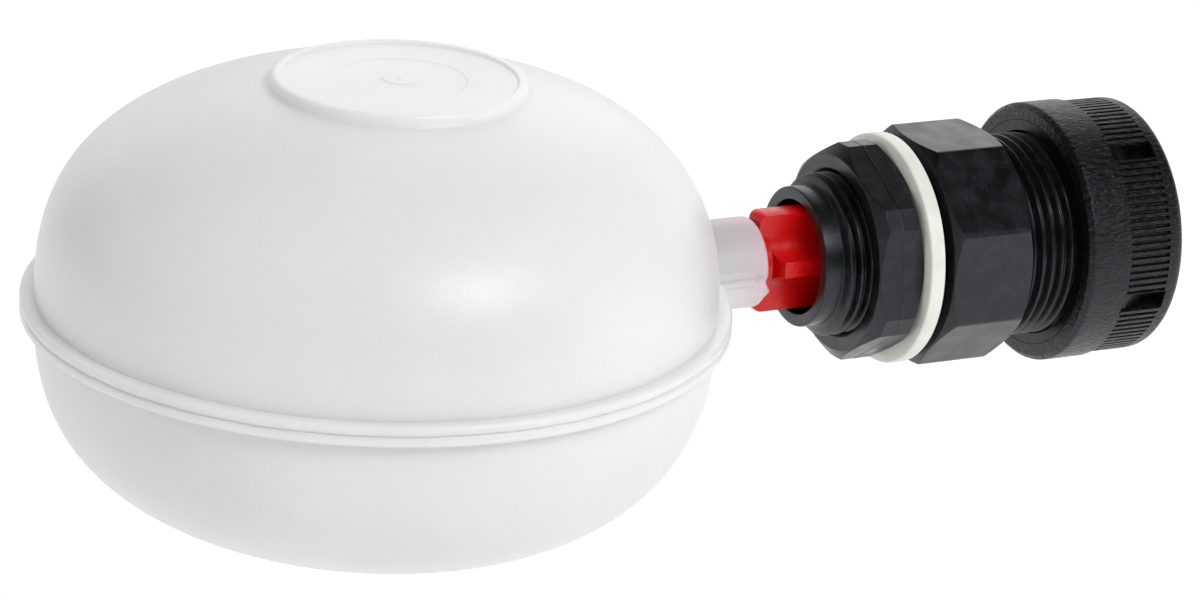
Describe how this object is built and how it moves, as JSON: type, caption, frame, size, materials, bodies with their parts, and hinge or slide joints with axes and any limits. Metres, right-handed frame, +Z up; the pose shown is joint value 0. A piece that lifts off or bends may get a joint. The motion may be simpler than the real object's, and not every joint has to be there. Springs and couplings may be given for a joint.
{
  "type": "float level switch",
  "caption": "Side-mounted liquid level switch: hollow oval float on a pivoted lever in a threaded plastic fitting with lock nut, gasket, dry chamber and cable coupling nut.",
  "frame": {"origin": "centre of the body's flat face that seals against the tank's wall, on the axis of the fitting", "axes": "+X along the fitting from the float towards the cable end, +Z up as mounted with the float level, +Y across along the pivot pin"},
  "size_m": [0.2355, 0.137, 0.0908],
  "materials": {
    "fitting_plastic": "glass-filled black moulding",
    "inner_nut_plastic": "smooth black moulding",
    "grip_plastic": "textured black moulding",
    "red_plastic": "glossy red moulding",
    "float_plastic": "natural translucent moulding, finely dimpled",
    "bush_plastic": "natural acetal",
    "white_rubber": "translucent white rubber",
    "black_rubber": "soft black rubber",
    "steel": "stainless, bright",
    "magnet": "sintered magnet, ground",
    "board_laminate": "green laminate",
    "reed_glass": "clear glass",
    "tinned_wire": "tinned",
    "terminal_plastic": "moulded",
    "tinned_brass": "tinned"
  },
  "bodies": {
    "fitting": {"switch_body": "fitting_plastic", "pivot_pin": "steel", "board_spacer": "bush_plastic", "circuit_board": "board_laminate", "board_screws": "steel", "reed_switch": "reed_glass", "reed_leads": "tinned_wire", "terminal_block": "terminal_plastic", "terminal_clamps": "tinned_brass", "terminal_screws": "steel", "cable_seal": "black_rubber"},
    "lever": {"float_lever": "red_plastic", "pivot_bushes": "bush_plastic", "lever_magnet": "magnet", "magnet_cap": "red_plastic", "stem_seal": "black_rubber", "float_upper_shell": "float_plastic", "float_lower_shell": "float_plastic"},
    "sealing_ring": {"gasket": "white_rubber"},
    "lock_nut": {"locknut": "fitting_plastic"},
    "thrust_ring": {"slip_ring": "bush_plastic"},
    "coupling_nut": {"union_nut": "inner_nut_plastic", "grip_ring": "grip_plastic"}
  },
  "joints": [
    {"name": "float_swing", "type": "hinge", "parent": "fitting", "child": "lever", "pos_m": [-0.0125, 0, 0], "axis": [0, 1, 0], "range_deg": [-5.5, 5.5]},
    {"name": "gasket_slide", "type": "slide", "parent": "fitting", "child": "sealing_ring", "axis": [1, 0, 0], "range_m": [-0.00694, 0.0023]},
    {"name": "locknut_turn", "type": "hinge", "parent": "sealing_ring", "child": "lock_nut", "pos_m": [0, 0, 0], "axis": [1, 0, 0], "range_deg": [-1080, 355]},
    {"name": "thrust_ring_slide", "type": "slide", "parent": "fitting", "child": "thrust_ring", "axis": [1, 0, 0], "range_m": [0, 0.00925]},
    {"name": "coupling_nut_turn", "type": "hinge", "parent": "thrust_ring", "child": "coupling_nut", "pos_m": [0, 0, 0], "axis": [1, 0, 0], "range_deg": [0, 1440]}
  ],
  "couplings": [
    {"joint": "gasket_slide", "follows": "locknut_turn", "m_per_rad": 0.00036749},
    {"joint": "thrust_ring_slide", "follows": "coupling_nut_turn", "m_per_rad": 0.00036749}
  ]
}
